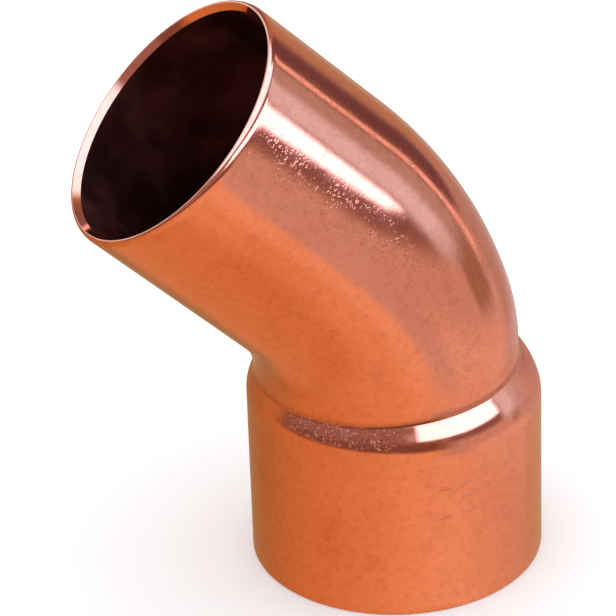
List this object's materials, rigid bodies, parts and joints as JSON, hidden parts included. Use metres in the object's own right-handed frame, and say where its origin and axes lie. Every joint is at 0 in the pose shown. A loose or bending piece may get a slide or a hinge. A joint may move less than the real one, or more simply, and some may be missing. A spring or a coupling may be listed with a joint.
{
  "type": "copper pipe elbow",
  "caption": "Street elbow for soldering copper pipe: a socket that a pipe end slides into, a smooth 45 degree bend, and a plain end the size of the pipe.",
  "frame": {"origin": "centre of the socket's mouth, on the socket's axis, where the fitting stands", "axes": "+Z along the socket's axis, from its mouth into the fitting; the bend lies in the XZ plane and leads the plain end over towards -X, so +X is the long outer side of the bend"},
  "size_m": [0.0475, 0.0304, 0.0627],
  "materials": {
    "copper": "formed copper, satin, lightly mottled and pitted, with a dark oxidised bore"
  },
  "bodies": {
    "root": {"elbow_body": "copper"}
  },
  "joints": []
}
